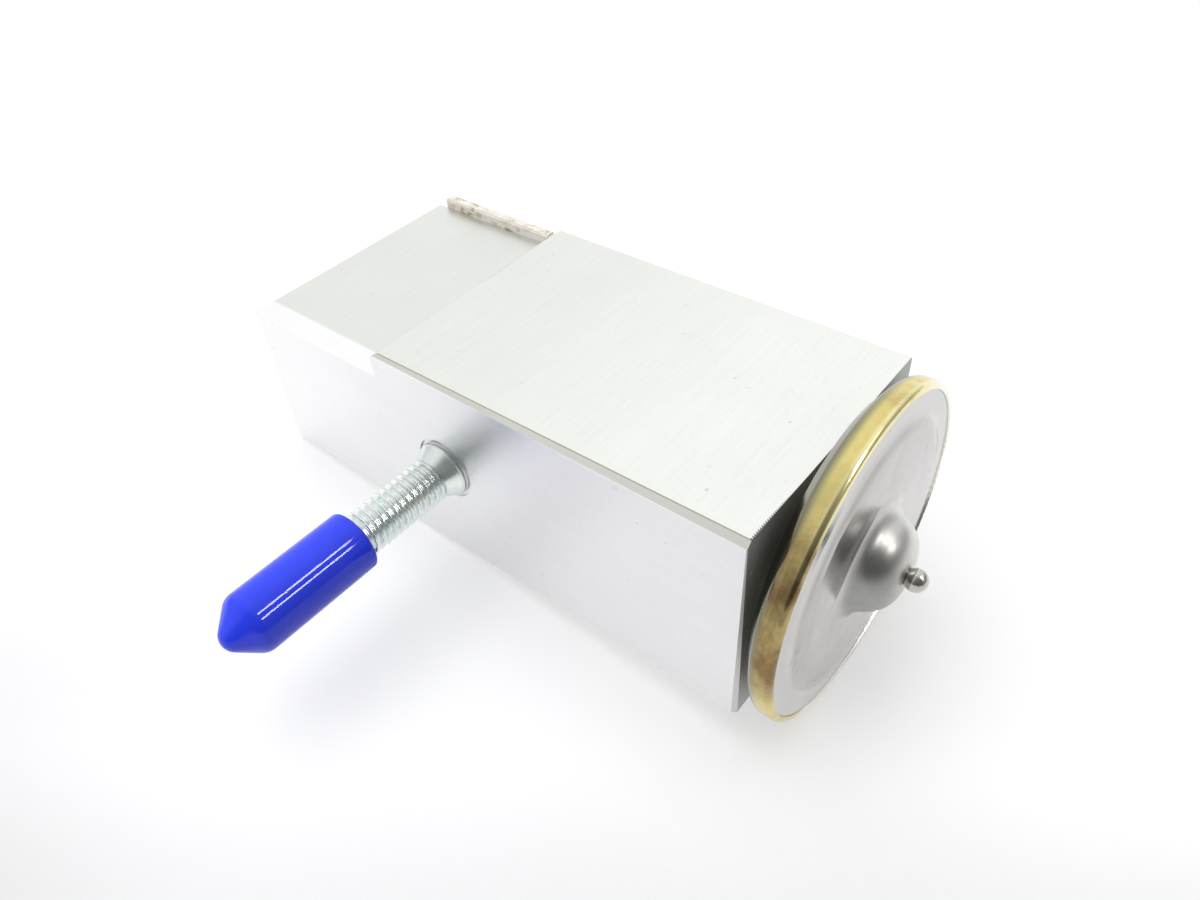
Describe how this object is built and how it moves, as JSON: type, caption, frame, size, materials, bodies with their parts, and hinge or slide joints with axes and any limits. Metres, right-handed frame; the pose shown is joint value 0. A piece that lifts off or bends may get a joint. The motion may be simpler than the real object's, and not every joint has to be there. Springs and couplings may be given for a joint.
{
  "type": "block expansion valve",
  "caption": "Aluminium block expansion valve with a round diaphragm power head, a side mounting stud under a push-on cap, and refrigerant ports on two faces.",
  "frame": {"origin": "centre of the clamp screw hole's mouth on the port face under the block, on the block's mid-plane", "axes": "+X along the valve axis towards the power head, +Y towards the far port face, away from the stud, +Z from the port face up to the plain top face"},
  "size_m": [0.0919, 0.0732, 0.0423],
  "materials": {
    "block_aluminium": "bare extruded bar, finely brushed, edges machined",
    "zinc_steel": "bright zinc plate with a faint blue-green cast",
    "blue_vinyl": "glossy dipped vinyl",
    "gold_zinc_steel": "yellow zinc plate, tarnished brown in places",
    "stainless_steel": "stamped stainless sheet, satin",
    "polished_steel": "polished ball and pin steel",
    "turned_brass": "turned brass, fine tool marks",
    "rod_aluminium": "ground rod",
    "spring_steel": "drawn spring wire",
    "seal_rubber": "dark green sealing rubber, matte",
    "cream_foam": "fine closed-cell foam, matte cream"
  },
  "bodies": {
    "valve": {"valve_body": "block_aluminium", "mounting_stud": "zinc_steel", "head_lower_shell": "gold_zinc_steel", "head_upper_shell": "stainless_steel", "diaphragm": "stainless_steel", "charge_plug": "polished_steel", "head_seal_ring": "seal_rubber", "rod_seal_ring": "seal_rubber", "rod_seal_clip": "spring_steel", "seal_strip": "cream_foam", "superheat_spring": "spring_steel"},
    "valve_train": {"diaphragm_stop": "turned_brass", "feeler_rod": "rod_aluminium", "actuating_pin": "polished_steel", "valve_ball": "polished_steel", "ball_carrier": "turned_brass", "damping_spring": "stainless_steel"},
    "adjuster_carriage": {"adjuster_seal_ring": "seal_rubber"},
    "adjuster": {"adjusting_nut": "turned_brass"},
    "cap": {"stud_cap": "blue_vinyl"}
  },
  "joints": [
    {"name": "valve_stroke", "type": "slide", "parent": "valve", "child": "valve_train", "axis": [-1, 0, 0], "range_m": [0, 0.0006], "stiffness_N_per_m": 400, "springref_m": -0.001, "deforming": ["superheat_spring", "diaphragm"]},
    {"name": "adjuster_travel", "type": "slide", "parent": "valve", "child": "adjuster_carriage", "axis": [1, 0, 0], "range_m": [-0.00055, 0.00055], "deforming": ["superheat_spring"]},
    {"name": "adjuster_turn", "type": "hinge", "parent": "adjuster_carriage", "child": "adjuster", "pos_m": [-0.032, 0, 0.01485], "axis": [1, 0, 0], "range_deg": [-180, 180]},
    {"name": "cap_pull", "type": "slide", "parent": "valve", "child": "cap", "axis": [0, -1, 0], "range_m": [0, 0.02]}
  ],
  "couplings": [
    {"joint": "adjuster_travel", "follows": "adjuster_turn", "m_per_rad": 0.00015915}
  ]
}
